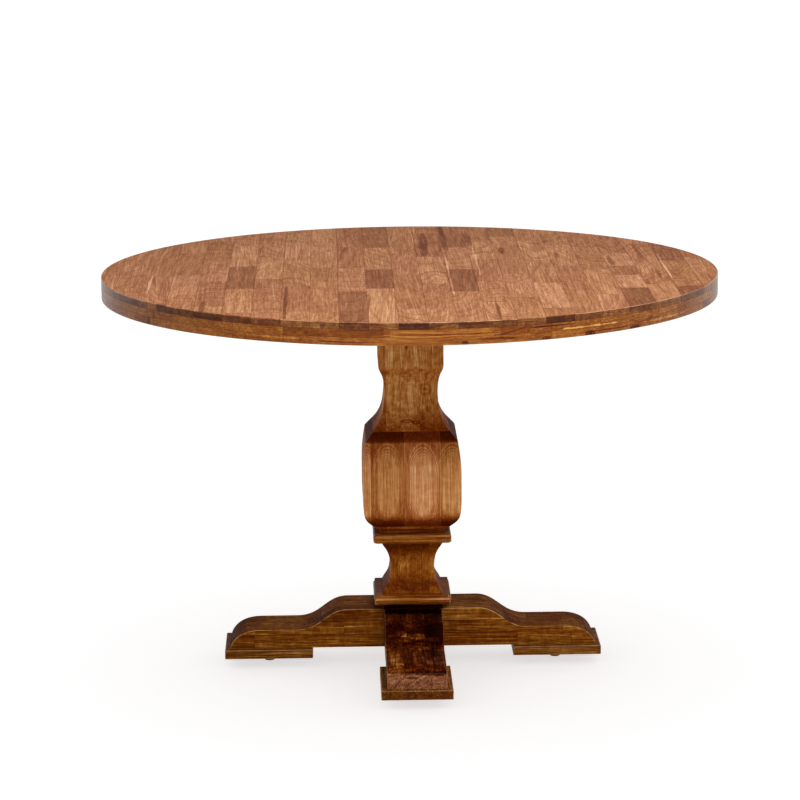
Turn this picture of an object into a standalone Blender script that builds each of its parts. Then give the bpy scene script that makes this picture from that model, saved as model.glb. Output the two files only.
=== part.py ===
"""Round pedestal dining table: a glued three-layer top on a square shaped post and a cross foot.

The post, neck and mouldings stand on one another and are clamped to the cross foot and to the
bearers under the top by one long threaded rod. Four screw-in levellers carry the weight.
Metres, +Z up. The origin is the middle of the table, on the floor.
"""

import math

import bmesh
import bpy
from mathutils import Matrix, Vector

GAP = 0.0003  # clearance left wherever two pieces touch

# Overall size
TABLE_HEIGHT = 0.762
TOP_DIAMETER = 1.168
FLOOR_CLEARANCE = 0.019  # from the floor to the underside of the foot pads

# Top: three glued layers
FACE_LAYER = 0.013
CORE_LAYER = 0.014
TOP_EDGE_ROUND = 0.0025
TOP_STEPS = 96

# Bearers under the top, half-lapped into a cross
BEARER_HALF_LENGTH = 0.380
BEARER_HALF_WIDTH = 0.035
BEARER_HEIGHT = 0.032
BEARER_END_FACE = 0.012
BEARER_END_SLOPE = 0.030
TOP_SCREW_RADII = (0.200, 0.330)
TOP_SCREW_LENGTH = 0.038
TOP_SCREW_RECESS = 0.012

# Square stack between the cross foot and the bearers, as half widths and heights
BLOCK_HALF = 0.062
WAIST_HALF = 0.0508
CREASE_HALF = 0.0875
BULB_HALF = 0.0938
BULB_BASE_HALF = 0.066
FILLET_HALF = 0.0625
FILLET_HEIGHT = 0.0103
COLLAR_HALF = 0.0745
COLLAR_HEIGHT = 0.0165
NECK_HEIGHT = 0.1018
NECK_END_HALF = 0.058
NECK_WAIST_HALF = 0.042
PLINTH_HALF = 0.074
PLINTH_HEIGHT = 0.0188
BASE_BLOCK_HALF = 0.058
BASE_BLOCK_HEIGHT = 0.0107
MOULDING_ROUND = 0.006
CURVE_STEPS = 9

# Cross foot
BEAM_HALF_WIDTH = 0.055
BEAM_HEIGHT = 0.0748
BEAM_LOW_HEIGHT = 0.036
BEAM_OGEE_START = 0.125
BEAM_OGEE_END = 0.222
BEAM_TOE_START = 0.293
BEAM_HALF_LENGTH = 0.352
PAD_LENGTH = 0.169
PAD_WIDTH = 0.133
PAD_THICKNESS = 0.018
PAD_EDGE_ROUND = 0.0015
PAD_RADIUS = 0.27725  # distance of each pad's centre from the middle of the table
PAD_SCREW_OFFSET = 0.055  # either side of the leveller, along the beam
PAD_SCREW_LENGTH = 0.040
PAD_SCREW_RECESS = 0.002

# Wood screws
SCREW_SHANK = 0.0021
SCREW_HEAD = 0.0042
SCREW_HEAD_HEIGHT = 0.0026
SCREW_POINT = 0.006
SCREW_STEPS = 10

# Threaded rod through the whole column, with a washer and a nut at each end
ROD_RADIUS = 0.006
ROD_HOLE = 0.007
NUT_HALF_FLATS = 0.0095
NUT_HEIGHT = 0.010
WASHER_RADIUS = 0.018
WASHER_THICKNESS = 0.0025
ROD_RECESS_RADIUS = 0.0205
ROD_RECESS_DEPTH = 0.018
ROD_STEPS = 16

# Levellers: a moulded foot, a threaded stem with a hexagonal collar, and an insert in the pad
FOOT_RADIUS = 0.011
FOOT_TREAD_RADIUS = 0.0075
FOOT_NECK_RADIUS = 0.008
FOOT_HEIGHT = 0.009
FOOT_ROUND = 0.0035
SOCKET_RADIUS = 0.0058
SOCKET_DEPTH = 0.0045
STEM_RADIUS = 0.004
STEM_BUTTON_RADIUS = 0.0052
STEM_HEX_HALF_FLATS = 0.0065
STEM_HEX_HEIGHT = 0.005
STEM_LENGTH = 0.047
STEM_TOP_CLEARANCE = 0.004
INSERT_RADIUS = 0.006
INSERT_FLANGE_RADIUS = 0.0085
INSERT_FLANGE = 0.0015
INSERT_LENGTH = 0.015
LEVELLER_STEPS = 16

# Heights of the stack, each piece standing on the one below
PAD_BOTTOM = FLOOR_CLEARANCE
PAD_TOP = PAD_BOTTOM + PAD_THICKNESS
BEAM_BOTTOM = PAD_TOP + GAP
BEAM_TOP = BEAM_BOTTOM + BEAM_HEIGHT
BASE_BLOCK_BOTTOM = BEAM_TOP + GAP
PLINTH_BOTTOM = BASE_BLOCK_BOTTOM + BASE_BLOCK_HEIGHT + GAP
NECK_BOTTOM = PLINTH_BOTTOM + PLINTH_HEIGHT + GAP
COLLAR_BOTTOM = NECK_BOTTOM + NECK_HEIGHT + GAP
FILLET_BOTTOM = COLLAR_BOTTOM + COLLAR_HEIGHT + GAP
POST_BOTTOM = FILLET_BOTTOM + FILLET_HEIGHT + GAP
FACE_LAYER_BOTTOM = TABLE_HEIGHT - FACE_LAYER
MIDDLE_LAYER_BOTTOM = FACE_LAYER_BOTTOM - GAP - CORE_LAYER
BOTTOM_LAYER_BOTTOM = MIDDLE_LAYER_BOTTOM - GAP - CORE_LAYER
BEARER_TOP = BOTTOM_LAYER_BOTTOM - GAP
BEARER_BOTTOM = BEARER_TOP - BEARER_HEIGHT
POST_HEIGHT = BEARER_BOTTOM - GAP - POST_BOTTOM

# Each leg of the cross: its name and the angle of its direction from +X
LEGS = {"right": 0.0, "back": 90.0, "left": 180.0, "front": 270.0}

MATERIALS = {  # base colour, roughness, metallic
    "top_wood": ((0.40, 0.17, 0.075), 0.38, 0.0),
    "edge_wood": ((0.34, 0.13, 0.05), 0.42, 0.0),
    "post_wood": ((0.33, 0.13, 0.04), 0.40, 0.0),
    "moulding_wood": ((0.27, 0.07, 0.02), 0.38, 0.0),
    "foot_wood": ((0.21, 0.07, 0.025), 0.42, 0.0),
    "hidden_wood": ((0.42, 0.25, 0.13), 0.60, 0.0),
    "zinc_steel": ((0.62, 0.62, 0.60), 0.35, 1.0),
    "black_rubber": ((0.02, 0.02, 0.02), 0.75, 0.0),
}

COLLECTIONS = {}


def clear_scene():
    for obj in list(bpy.data.objects):
        bpy.data.objects.remove(obj, do_unlink=True)
    for collection in list(bpy.data.collections):
        bpy.data.collections.remove(collection)


def collection_named(name):
    if name not in COLLECTIONS:
        COLLECTIONS[name] = bpy.data.collections.new(name)
        bpy.context.scene.collection.children.link(COLLECTIONS[name])
    return COLLECTIONS[name]


def material_for(name, kind):
    colour, roughness, metallic = MATERIALS[kind]
    material = bpy.data.materials.new(name)
    material.use_nodes = True
    shader = material.node_tree.nodes["Principled BSDF"]
    shader.inputs["Base Color"].default_value = (*colour, 1.0)
    shader.inputs["Roughness"].default_value = roughness
    shader.inputs["Metallic"].default_value = metallic
    return material


def add_part(name, mesh, kind, location=(0.0, 0.0, 0.0), turn=0.0):
    """A named piece of the table, turned about +Z by `turn` degrees."""
    obj = bpy.data.objects.new(name, mesh)
    obj.location = location
    obj.rotation_euler = (0.0, 0.0, math.radians(turn))
    mesh.materials.clear()
    mesh.materials.append(material_for(name, kind))
    collection_named("round_pedestal_table").objects.link(obj)
    return obj


def add_cutter(name, mesh, group, location=(0.0, 0.0, 0.0), turn=0.0):
    """A shape that only cuts; the cutters of one group are cut out together."""
    obj = bpy.data.objects.new(name, mesh)
    obj.location = location
    obj.rotation_euler = (0.0, 0.0, math.radians(turn))
    obj.hide_render = True
    obj.display_type = "WIRE"
    collection_named(group).objects.link(obj)
    return obj


def cut(obj, *groups):
    """Cuts every shape of the named cutter groups out of obj."""
    for group in groups:
        modifier = obj.modifiers.new("cut_" + group, "BOOLEAN")
        modifier.operation = "DIFFERENCE"
        modifier.solver = "EXACT"
        modifier.operand_type = "COLLECTION"
        modifier.collection = collection_named(group)


def bezier(start, handle_1, handle_2, end, steps=CURVE_STEPS):
    """Points of a cubic curve from start to end, without its first point."""
    corners = [Vector(p) for p in (start, handle_1, handle_2, end)]
    points = []
    for i in range(1, steps + 1):
        t = i / steps
        weights = ((1 - t) ** 3, 3 * t * (1 - t) ** 2, 3 * t * t * (1 - t), t**3)
        point = sum((w * c for w, c in zip(weights, corners)), Vector((0.0, 0.0)))
        points.append(tuple(point))
    return points


def arc(centre, radius, from_degrees, to_degrees, steps=4):
    """Points of a circular arc, both ends included."""
    points = []
    for i in range(steps + 1):
        angle = math.radians(from_degrees + (to_degrees - from_degrees) * i / steps)
        points.append((centre[0] + radius * math.cos(angle), centre[1] + radius * math.sin(angle)))
    return points


def mirrored(points):
    """The points, then the same points mirrored in X and walked back."""
    return points + [(-x, z) for x, z in reversed(points)]


def profile_mesh(name, profile, closed=False):
    """An open or closed chain of (radius, height) points in the XZ plane."""
    mesh = bpy.data.meshes.new(name)
    edges = [(i, i + 1) for i in range(len(profile) - 1)]
    if closed:
        edges.append((len(profile) - 1, 0))
    mesh.from_pydata([(r, 0.0, z) for r, z in profile], edges, [])
    return mesh


def add_screw_modifier(obj, steps):
    modifier = obj.modifiers.new("turn", "SCREW")
    modifier.axis = "Z"
    modifier.angle = 2.0 * math.pi
    modifier.steps = steps
    modifier.render_steps = steps
    modifier.use_merge_vertices = True
    modifier.merge_threshold = 0.00001
    modifier.use_smooth_shade = False
    return modifier


def turned_part(name, profile, steps, kind, location=(0.0, 0.0, 0.0), turn=0.0, ring=False):
    """A piece turned about +Z from a profile that runs down its outer side."""
    obj = add_part(name, profile_mesh(name, profile, closed=ring), kind, location, turn)
    add_screw_modifier(obj, steps)
    return obj


def turned_cutter(name, profile, steps, group, location=(0.0, 0.0, 0.0)):
    obj = add_cutter(name, profile_mesh(name, profile), group, location)
    add_screw_modifier(obj, steps)
    return obj


def square_part(name, half_widths, kind, bottom):
    """A square piece with the same profile on all four sides.

    half_widths is a chain of (half width, height) points, from the top edge down.
    """
    diagonal = math.sqrt(2.0)
    top = half_widths[0][1]
    foot = half_widths[-1][1]
    profile = [(0.0, top)] + [(a * diagonal, z) for a, z in half_widths] + [(0.0, foot)]
    return turned_part(name, profile, 4, kind, (0.0, 0.0, bottom), turn=45.0)


def box_mesh(name, low, high):
    mesh = bpy.data.meshes.new(name)
    low = Vector(low)
    high = Vector(high)
    size = high - low
    bm = bmesh.new()
    bmesh.ops.create_cube(bm, size=1.0)
    bmesh.ops.transform(bm, matrix=Matrix.Diagonal((*size, 1.0)), verts=bm.verts)
    bmesh.ops.translate(bm, vec=(low + high) / 2, verts=bm.verts)
    bm.to_mesh(mesh)
    bm.free()
    return mesh


def prism_mesh(name, sides, half_flats, low, high):
    """A regular prism about +Z, given by half the distance across its flats."""
    mesh = bpy.data.meshes.new(name)
    radius = half_flats / math.cos(math.pi / sides)
    bm = bmesh.new()
    bmesh.ops.create_cone(
        bm, cap_ends=True, segments=sides, radius1=radius, radius2=radius, depth=high - low
    )
    bmesh.ops.translate(bm, vec=(0.0, 0.0, (low + high) / 2), verts=bm.verts)
    bm.to_mesh(mesh)
    bm.free()
    return mesh


def cylinder_profile(radius, low, high):
    return [(0.0, high), (radius, high), (radius, low), (0.0, low)]


def outline_mesh(name, outline, half_width):
    """A plate whose (x, z) outline lies in the XZ plane, half_width thick on either side of it."""
    curve = bpy.data.curves.new(name, "CURVE")
    curve.dimensions = "2D"
    curve.fill_mode = "BOTH"
    curve.extrude = half_width
    spline = curve.splines.new("POLY")
    spline.points.add(len(outline) - 1)
    for point, (x, z) in zip(spline.points, outline):
        point.co = (x, z, 0.0, 1.0)
    spline.use_cyclic_u = True
    guide = bpy.data.objects.new(name + "_outline", curve)
    bpy.context.scene.collection.objects.link(guide)
    graph = bpy.context.evaluated_depsgraph_get()
    mesh = bpy.data.meshes.new_from_object(guide.evaluated_get(graph))
    bpy.data.objects.remove(guide, do_unlink=True)
    bm = bmesh.new()
    bm.from_mesh(mesh)
    bmesh.ops.remove_doubles(bm, verts=bm.verts, dist=0.00001)
    bmesh.ops.dissolve_limit(bm, angle_limit=0.001, verts=bm.verts, edges=bm.edges)
    bmesh.ops.transform(bm, matrix=Matrix.Rotation(math.pi / 2, 4, "X"), verts=bm.verts)
    bmesh.ops.recalc_face_normals(bm, faces=bm.faces)
    bm.to_mesh(mesh)
    bm.free()
    mesh.name = name
    return mesh


def along(angle, distance, height):
    """The point at this distance from the middle, in the direction of a leg."""
    turn = math.radians(angle)
    return (distance * math.cos(turn), distance * math.sin(turn), height)


def screw_profile(length, grow=0.0):
    """A countersunk wood screw standing on its head, from its point down its outer side."""
    shank = SCREW_SHANK + grow
    head = SCREW_HEAD + grow
    return [
        (0.0, length + grow),
        (shank, length - SCREW_POINT + grow),
        (shank, SCREW_HEAD_HEIGHT + grow),
        (head, grow),
        (head, -grow),
        (0.0, -grow),
    ]


def screw_hole_profile(length, recess):
    """The screw with clearance, and the straight hole that its head went in by."""
    head = SCREW_HEAD + GAP
    return screw_profile(length, GAP)[:-2] + [(head, -recess - GAP), (0.0, -recess - GAP)]


def make_cutters():
    hidden = "rod_hole"
    column = cylinder_profile(ROD_HOLE, BEAM_BOTTOM - GAP, BEARER_TOP + GAP)
    turned_cutter("rod_hole_cutter", column, ROD_STEPS, hidden)
    recess = "rod_recess"
    low_end = cylinder_profile(ROD_RECESS_RADIUS, BEAM_BOTTOM - GAP, BEAM_BOTTOM + ROD_RECESS_DEPTH)
    high_end = cylinder_profile(ROD_RECESS_RADIUS, BEARER_TOP - ROD_RECESS_DEPTH, BEARER_TOP + GAP)
    turned_cutter("rod_recess_low_cutter", low_end, ROD_STEPS, recess)
    turned_cutter("rod_recess_high_cutter", high_end, ROD_STEPS, recess)

    for name, angle in LEGS.items():
        for i, radius in enumerate(TOP_SCREW_RADII):
            start = along(angle, radius, BEARER_BOTTOM + TOP_SCREW_RECESS)
            profile = screw_hole_profile(TOP_SCREW_LENGTH, TOP_SCREW_RECESS)
            turned_cutter(f"top_screw_hole_{name}_{i}", profile, SCREW_STEPS, "top_screw_holes", start)
        for i, side in enumerate((-1, 1)):
            radius = PAD_RADIUS + side * PAD_SCREW_OFFSET
            start = along(angle, radius, PAD_BOTTOM + PAD_SCREW_RECESS)
            profile = screw_hole_profile(PAD_SCREW_LENGTH, PAD_SCREW_RECESS)
            turned_cutter(f"pad_screw_hole_{name}_{i}", profile, SCREW_STEPS, "pad_screw_holes", start)
        leveller = [
            (0.0, FOOT_HEIGHT + STEM_LENGTH + STEM_TOP_CLEARANCE),
            (STEM_RADIUS + 2 * GAP, FOOT_HEIGHT + STEM_LENGTH + STEM_TOP_CLEARANCE),
            (STEM_RADIUS + 2 * GAP, PAD_BOTTOM + INSERT_LENGTH + GAP),
            (INSERT_RADIUS + GAP, PAD_BOTTOM + INSERT_LENGTH + GAP),
            (INSERT_RADIUS + GAP, PAD_BOTTOM + INSERT_FLANGE + GAP),
            (INSERT_FLANGE_RADIUS + GAP, PAD_BOTTOM + INSERT_FLANGE + GAP),
            (INSERT_FLANGE_RADIUS + GAP, PAD_BOTTOM - GAP),
            (0.0, PAD_BOTTOM - GAP),
        ]
        at = along(angle, PAD_RADIUS, 0.0)
        turned_cutter(f"leveller_hole_{name}", leveller, LEVELLER_STEPS, "leveller_holes", at)


def make_top():
    radius = TOP_DIAMETER / 2
    r = TOP_EDGE_ROUND
    face_rim = arc((radius - r, FACE_LAYER - r), r, 90, 0, 3)
    face = [(0.0, FACE_LAYER)] + face_rim + [(radius, 0.0), (0.0, 0.0)]
    middle = cylinder_profile(radius, 0.0, CORE_LAYER)
    bottom_rim = arc((radius - r, r), r, 0, -90, 3)
    bottom = [(0.0, CORE_LAYER), (radius, CORE_LAYER)] + bottom_rim + [(0.0, 0.0)]
    turned_part("top_face_layer", face, TOP_STEPS, "top_wood", (0, 0, FACE_LAYER_BOTTOM))
    core = turned_part("top_middle_layer", middle, TOP_STEPS, "edge_wood", (0, 0, MIDDLE_LAYER_BOTTOM))
    under = turned_part("top_bottom_layer", bottom, TOP_STEPS, "edge_wood", (0, 0, BOTTOM_LAYER_BOTTOM))
    cut(core, "top_screw_holes")
    cut(under, "top_screw_holes")


def make_bearers():
    """Two bearers crossing under the top: the one along X is notched from above, the other from below."""
    end = BEARER_HALF_LENGTH
    outline = mirrored(
        [
            (end - BEARER_END_SLOPE, BEARER_BOTTOM),
            (end, BEARER_TOP - BEARER_END_FACE),
            (end, BEARER_TOP),
        ]
    )
    middle = (BEARER_BOTTOM + BEARER_TOP) / 2
    half = BEARER_HALF_WIDTH + GAP
    above = box_mesh("bearer_notch_above", (-half, -0.1, middle - GAP / 2), (half, 0.1, BEARER_TOP + 0.01))
    below = box_mesh("bearer_notch_below", (-half, -0.1, BEARER_BOTTOM - 0.01), (half, 0.1, middle + GAP / 2))
    add_cutter("bearer_notch_above", above, "bearer_x_notch")
    add_cutter("bearer_notch_below", below, "bearer_y_notch", turn=90.0)
    mesh = outline_mesh("top_bearer", outline, BEARER_HALF_WIDTH)
    bearer_x = add_part("top_bearer_x", mesh, "hidden_wood")
    bearer_y = add_part("top_bearer_y", mesh.copy(), "hidden_wood", turn=90.0)
    cut(bearer_x, "bearer_x_notch", "rod_hole", "rod_recess", "top_screw_holes")
    cut(bearer_y, "bearer_y_notch", "rod_hole", "rod_recess", "top_screw_holes")


def make_upper_post():
    """The tall block: a straight head, a cove to the waist, a flare to a crease, and the bulb."""
    bulb_foot_top = (BULB_HALF, 0.060)
    bulb_shoulder = (BULB_HALF, 0.113)
    crease = (CREASE_HALF, 0.174)
    waist = (WAIST_HALF, 0.260)
    head = (BLOCK_HALF, 0.318)
    from_top = [(BLOCK_HALF, POST_HEIGHT), head]
    from_top += bezier(head, (0.0624, 0.3011), (0.0509, 0.3054), waist)
    from_top += bezier(waist, (0.0534, 0.2052), (0.0675, 0.2001), crease)
    from_top += bezier(crease, (0.0890, 0.1640), (0.0936, 0.1400), bulb_shoulder, 5)
    from_top += [bulb_foot_top]
    from_top += bezier(bulb_foot_top, (0.0917, 0.0206), (0.0910, 0.0227), (BULB_BASE_HALF, 0.0))
    post = square_part("upper_post", from_top, "post_wood", POST_BOTTOM)
    cut(post, "rod_hole")


def make_neck():
    """The waisted block between the plinth and the collar."""
    waist = (NECK_WAIST_HALF, 0.0498)
    shoulder = (NECK_END_HALF, NECK_HEIGHT - 0.0025)
    from_top = [(NECK_END_HALF, NECK_HEIGHT), shoulder]
    from_top += bezier(shoulder, (0.0528, 0.0874), (0.0429, 0.0816), waist)
    from_top += bezier(waist, (0.0417, 0.0198), (0.0524, 0.0184), (NECK_END_HALF, 0.0))
    neck = square_part("neck_block", from_top, "post_wood", NECK_BOTTOM)
    cut(neck, "rod_hole")


def moulding(half, height, lip, inset, round_top):
    """The edge of a square moulding: a lip set back from the edge, then a rounded belly."""
    r = MOULDING_ROUND
    top = height - lip
    points = [(half - inset, height)]
    if lip:
        points += [(half - inset, top)]
    points += arc((half - round_top, top - round_top), round_top, 60 if lip else 70, 0, 3)
    points += arc((half - r, r), r, 0, -80, 4)
    return points + [(half - r, 0.0)]


def make_mouldings():
    collar = square_part("collar_plate", moulding(COLLAR_HALF, COLLAR_HEIGHT, 0.0, 0.003, 0.004),
                         "moulding_wood", COLLAR_BOTTOM)
    plinth = square_part("plinth_plate", moulding(PLINTH_HALF, PLINTH_HEIGHT, 0.0044, 0.0028, 0.005),
                         "moulding_wood", PLINTH_BOTTOM)
    fillet_edge = [(FILLET_HALF - 0.001, FILLET_HEIGHT), (FILLET_HALF, FILLET_HEIGHT - 0.001), (FILLET_HALF, 0.0)]
    fillet = square_part("collar_fillet", fillet_edge, "moulding_wood", FILLET_BOTTOM)
    block_edge = [(BASE_BLOCK_HALF, BASE_BLOCK_HEIGHT), (BASE_BLOCK_HALF, 0.0)]
    block = square_part("base_block", block_edge, "foot_wood", BASE_BLOCK_BOTTOM)
    for piece in (collar, plinth, fillet, block):
        cut(piece, "rod_hole")


def make_beams():
    """Two ogee-shaped beams, half-lapped into a cross."""
    top = BEAM_TOP
    low = BEAM_BOTTOM + BEAM_LOW_HEIGHT
    ogee_start = (BEAM_OGEE_START, top)
    ogee_end = (BEAM_OGEE_END, low)
    toe_start = (BEAM_TOE_START, low)
    toe_end = (BEAM_HALF_LENGTH, BEAM_BOTTOM)
    half_outline = [ogee_start]
    half_outline += bezier(ogee_start, (0.167, top), (0.175, low), ogee_end)
    half_outline += [toe_start]
    half_outline += bezier(toe_start, (0.344, low), (BEAM_HALF_LENGTH, BEAM_BOTTOM + 0.003), toe_end, 6)
    outline = mirrored(half_outline)
    middle = (BEAM_BOTTOM + BEAM_TOP) / 2
    half = BEAM_HALF_WIDTH + GAP
    above = box_mesh("beam_notch_above", (-half, -0.1, middle - GAP / 2), (half, 0.1, BEAM_TOP + 0.01))
    below = box_mesh("beam_notch_below", (-half, -0.1, BEAM_BOTTOM - 0.01), (half, 0.1, middle + GAP / 2))
    add_cutter("beam_notch_above", above, "beam_x_notch")
    add_cutter("beam_notch_below", below, "beam_y_notch", turn=90.0)
    mesh = outline_mesh("foot_beam", outline, BEAM_HALF_WIDTH)
    beam_x = add_part("foot_beam_x", mesh, "foot_wood")
    beam_y = add_part("foot_beam_y", mesh.copy(), "foot_wood", turn=90.0)
    cut(beam_x, "beam_x_notch", "rod_hole", "rod_recess", "pad_screw_holes", "leveller_holes")
    cut(beam_y, "beam_y_notch", "rod_hole", "rod_recess", "pad_screw_holes", "leveller_holes")


def make_pad(name, angle):
    half = (PAD_LENGTH / 2, PAD_WIDTH / 2)
    mesh = box_mesh("pad", (-half[0], -half[1], 0.0), (half[0], half[1], PAD_THICKNESS))
    pad = add_part("foot_pad_" + name, mesh, "foot_wood", along(angle, PAD_RADIUS, PAD_BOTTOM), angle)
    bevel = pad.modifiers.new("eased_edges", "BEVEL")
    bevel.width = PAD_EDGE_ROUND
    bevel.segments = 1
    cut(pad, "pad_screw_holes", "leveller_holes")


def make_screws(name, angle):
    for i, radius in enumerate(TOP_SCREW_RADII):
        start = along(angle, radius, BEARER_BOTTOM + TOP_SCREW_RECESS)
        profile = screw_profile(TOP_SCREW_LENGTH)
        turned_part(f"top_screw_{name}_{i + 1}", profile, SCREW_STEPS, "zinc_steel", start)
    for i, side in enumerate((-1, 1)):
        start = along(angle, PAD_RADIUS + side * PAD_SCREW_OFFSET, PAD_BOTTOM + PAD_SCREW_RECESS)
        profile = screw_profile(PAD_SCREW_LENGTH)
        turned_part(f"pad_screw_{name}_{i + 1}", profile, SCREW_STEPS, "zinc_steel", start)


def make_tie_rod():
    """The rod that clamps the column together, with its washers and nuts in the end recesses."""
    low_seat = BEAM_BOTTOM + ROD_RECESS_DEPTH - GAP
    high_seat = BEARER_TOP - ROD_RECESS_DEPTH + GAP
    stack = WASHER_THICKNESS + GAP + NUT_HEIGHT
    rod = cylinder_profile(ROD_RADIUS, low_seat - stack - 0.002, high_seat + stack + 0.002)
    turned_part("tie_rod", rod, ROD_STEPS, "zinc_steel")
    bore = ROD_RADIUS + GAP
    ring = [(bore, WASHER_THICKNESS), (WASHER_RADIUS, WASHER_THICKNESS), (WASHER_RADIUS, 0.0), (bore, 0.0)]
    washer_bottoms = {"base": low_seat - WASHER_THICKNESS, "head": high_seat}
    nut_bottoms = {"base": low_seat - stack, "head": high_seat + WASHER_THICKNESS + GAP}
    bore_cutter = cylinder_profile(bore, low_seat - 2 * stack, high_seat + 2 * stack)
    turned_cutter("nut_bore_cutter", bore_cutter, ROD_STEPS, "nut_bore")
    for end, bottom in washer_bottoms.items():
        turned_part(f"rod_washer_{end}", ring, ROD_STEPS, "zinc_steel", (0, 0, bottom), ring=True)
    for end, bottom in nut_bottoms.items():
        mesh = prism_mesh("nut", 6, NUT_HALF_FLATS, 0.0, NUT_HEIGHT)
        nut = add_part(f"rod_nut_{end}", mesh, "zinc_steel", (0, 0, bottom))
        cut(nut, "nut_bore")


def make_leveller(name, angle):
    """A leveller: the foot slides down as the stem is turned in the insert in the pad."""
    origin = along(angle, PAD_RADIUS, 0.0)
    floor_socket = FOOT_HEIGHT - SOCKET_DEPTH
    foot = [(0.0, floor_socket), (SOCKET_RADIUS, floor_socket), (SOCKET_RADIUS, FOOT_HEIGHT)]
    foot += [(FOOT_NECK_RADIUS, FOOT_HEIGHT), (FOOT_RADIUS, FOOT_HEIGHT - 0.003)]
    foot += arc((FOOT_TREAD_RADIUS, FOOT_ROUND), FOOT_ROUND, 0, -90, 4)
    foot += [(0.0, 0.0)]
    turned_part("leveller_foot_" + name, foot, LEVELLER_STEPS, "black_rubber", origin)

    button = floor_socket + GAP
    hex_low = FOOT_HEIGHT + GAP
    stem = [
        (0.0, FOOT_HEIGHT + STEM_LENGTH - STEM_TOP_CLEARANCE),
        (STEM_RADIUS, FOOT_HEIGHT + STEM_LENGTH - STEM_TOP_CLEARANCE),
        (STEM_RADIUS, button + 0.002),
        (STEM_BUTTON_RADIUS, button + 0.002),
        (STEM_BUTTON_RADIUS, button),
        (0.0, button),
    ]
    stem_part = turned_part("leveller_stem_" + name, stem, LEVELLER_STEPS, "zinc_steel", origin)
    collar = prism_mesh("stem_hex", 6, STEM_HEX_HALF_FLATS, hex_low, hex_low + STEM_HEX_HEIGHT)
    hexagon = add_cutter("stem_hex_" + name, collar, "stem_hex", origin)
    join = stem_part.modifiers.new("hexagonal_collar", "BOOLEAN")
    join.operation = "UNION"
    join.solver = "EXACT"
    join.object = hexagon

    bore = STEM_RADIUS + GAP
    insert = [
        (bore, INSERT_LENGTH),
        (INSERT_RADIUS, INSERT_LENGTH),
        (INSERT_RADIUS, INSERT_FLANGE),
        (INSERT_FLANGE_RADIUS, INSERT_FLANGE),
        (INSERT_FLANGE_RADIUS, 0.0),
        (bore, 0.0),
    ]
    place = along(angle, PAD_RADIUS, PAD_BOTTOM)
    turned_part("leveller_insert_" + name, insert, LEVELLER_STEPS, "zinc_steel", place, ring=True)


clear_scene()
make_cutters()
make_top()
make_bearers()
make_upper_post()
make_mouldings()
make_neck()
make_beams()
make_tie_rod()
for leg, leg_angle in LEGS.items():
    make_pad(leg, leg_angle)
    make_screws(leg, leg_angle)
    make_leveller(leg, leg_angle)
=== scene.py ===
"""The looks of the round pedestal table: its staves and mouldings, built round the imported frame."""
import copy
import math
import random

import bmesh
import bpy
from mathutils import Matrix, Vector


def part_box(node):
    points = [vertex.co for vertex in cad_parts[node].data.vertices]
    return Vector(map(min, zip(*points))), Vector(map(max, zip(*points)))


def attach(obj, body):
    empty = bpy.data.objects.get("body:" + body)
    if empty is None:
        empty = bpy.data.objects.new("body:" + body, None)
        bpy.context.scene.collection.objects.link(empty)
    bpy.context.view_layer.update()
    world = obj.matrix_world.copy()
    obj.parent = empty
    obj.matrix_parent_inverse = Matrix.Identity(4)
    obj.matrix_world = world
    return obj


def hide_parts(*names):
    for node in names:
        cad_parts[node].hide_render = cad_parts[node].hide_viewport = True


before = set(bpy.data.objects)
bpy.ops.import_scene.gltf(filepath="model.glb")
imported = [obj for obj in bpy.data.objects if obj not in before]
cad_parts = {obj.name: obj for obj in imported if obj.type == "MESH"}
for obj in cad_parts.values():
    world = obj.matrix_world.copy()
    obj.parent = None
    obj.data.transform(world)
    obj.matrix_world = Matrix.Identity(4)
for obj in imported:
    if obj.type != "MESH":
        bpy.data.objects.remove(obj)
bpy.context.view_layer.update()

BODY = "table"
FAR = 10.0  # stands for "no end" in a stave's box


# -------- materials

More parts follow.
